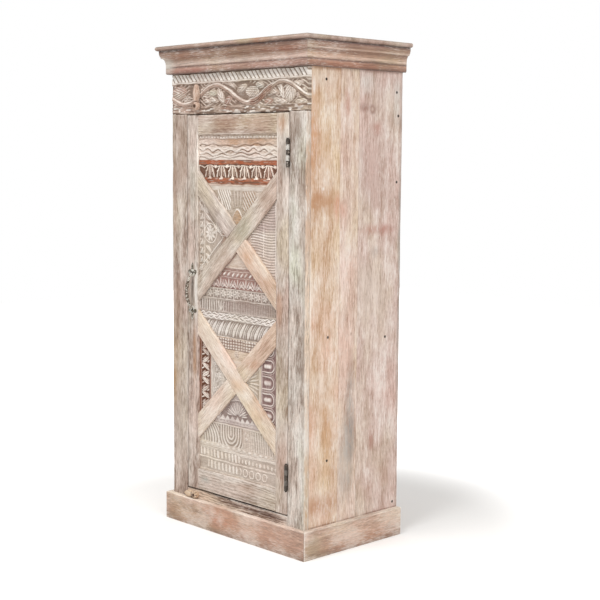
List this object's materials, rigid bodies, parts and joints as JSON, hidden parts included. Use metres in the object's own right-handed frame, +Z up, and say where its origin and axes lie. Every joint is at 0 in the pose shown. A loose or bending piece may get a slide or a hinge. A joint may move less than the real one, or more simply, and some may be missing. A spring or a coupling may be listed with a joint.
{
  "type": "single-door cupboard",
  "caption": "Tall cupboard of limewashed reclaimed boards: carved door with two crosses of braces, shelves inside, carved frieze, cornice, plinth and wooden turn buttons.",
  "frame": {"origin": "on the floor, in the middle of the whole footprint, which the top board sets at the front and sides", "axes": "+Z up, the door faces -Y, +X to the right seen from the front"},
  "size_m": [0.8, 0.51, 1.75],
  "materials": {
    "limed_side_planks": "limewashed and waxed reclaimed planks",
    "limed_frame": "limewashed and waxed reclaimed boards",
    "limed_cornice": "limewashed moulding over old red-brown paint",
    "limed_plinth": "limewashed boards over old orange paint",
    "bare_inside": "bare waxed wood",
    "limed_door_frame": "limewashed and waxed old door wood",
    "limed_braces": "limewashed and waxed old door wood",
    "carved_grey": "old carving, whitewashed on its ridges",
    "carved_mauve": "old mauve paint under whitewashed ridges",
    "carved_red": "old rust-red paint under whitewashed ridges",
    "aged_iron": "aged iron with rubbed white paint",
    "turn_button_wood": "waxed pale wood"
  },
  "bodies": {
    "carcass": {"side_plank_left_front": "limed_side_planks", "side_plank_left_middle": "limed_side_planks", "side_plank_left_rear": "limed_side_planks", "side_plank_right_front": "limed_side_planks", "side_plank_right_middle": "limed_side_planks", "side_plank_right_rear": "limed_side_planks", "back_planks": "bare_inside", "floor_board": "bare_inside", "shelf_lower": "bare_inside", "shelf_middle": "bare_inside", "shelf_upper": "bare_inside", "shelf_cleats": "bare_inside", "frame_stile_left": "limed_frame", "frame_stile_right": "limed_frame", "bottom_frame_rail": "limed_frame", "frieze_board": "limed_frame", "door_stop": "bare_inside", "plinth_front": "limed_plinth", "plinth_left": "limed_plinth", "plinth_right": "limed_plinth", "cornice_front": "limed_cornice", "cornice_left": "limed_cornice", "cornice_right": "limed_cornice", "top_board": "limed_cornice", "hinge_frame_leaves": "aged_iron", "hinge_pins": "aged_iron", "frame_hinge_screws": "aged_iron", "button_screws": "aged_iron"},
    "door": {"door_stile_left": "limed_door_frame", "door_stile_right": "limed_door_frame", "door_rail_top": "limed_door_frame", "door_rail_bottom": "limed_door_frame", "door_backing": "bare_inside", "brace_upper_long": "limed_braces", "brace_upper_left": "limed_braces", "brace_upper_right": "limed_braces", "brace_lower_long": "limed_braces", "brace_lower_left": "limed_braces", "brace_lower_right": "limed_braces", "carved_waves": "carved_mauve", "carved_lotus": "carved_red", "carved_fan": "carved_grey", "carved_flower": "carved_grey", "carved_ladder": "carved_mauve", "carved_zigzag": "carved_mauve", "carved_rosettes": "carved_grey", "carved_leaves": "carved_grey", "carved_checker": "carved_grey", "carved_chevron": "carved_red", "carved_sprigs": "carved_grey", "carved_arches": "carved_mauve", "carved_lined": "carved_grey", "carved_petals": "carved_mauve", "carved_scallops": "carved_grey", "carved_teeth": "carved_grey", "door_screws": "aged_iron", "hinge_door_leaves": "aged_iron", "handle": "aged_iron"},
    "upper_button": {"upper_turn_button": "turn_button_wood"},
    "lower_button": {"lower_turn_button": "turn_button_wood"}
  },
  "joints": [
    {"name": "door_swing", "type": "hinge", "parent": "carcass", "child": "door", "pos_m": [0.27, -0.2163, 0.8185], "axis": [0, 0, 1], "range_deg": [0, 170]},
    {"name": "upper_button_turn", "type": "hinge", "parent": "carcass", "child": "upper_button", "pos_m": [-0.206, -0.2183, 1.534], "axis": [0, 1, 0], "continuous": true},
    {"name": "lower_button_turn", "type": "hinge", "parent": "carcass", "child": "lower_button", "pos_m": [-0.218, -0.2183, 0.1142], "axis": [0, 1, 0], "range_deg": [0, 180]}
  ]
}
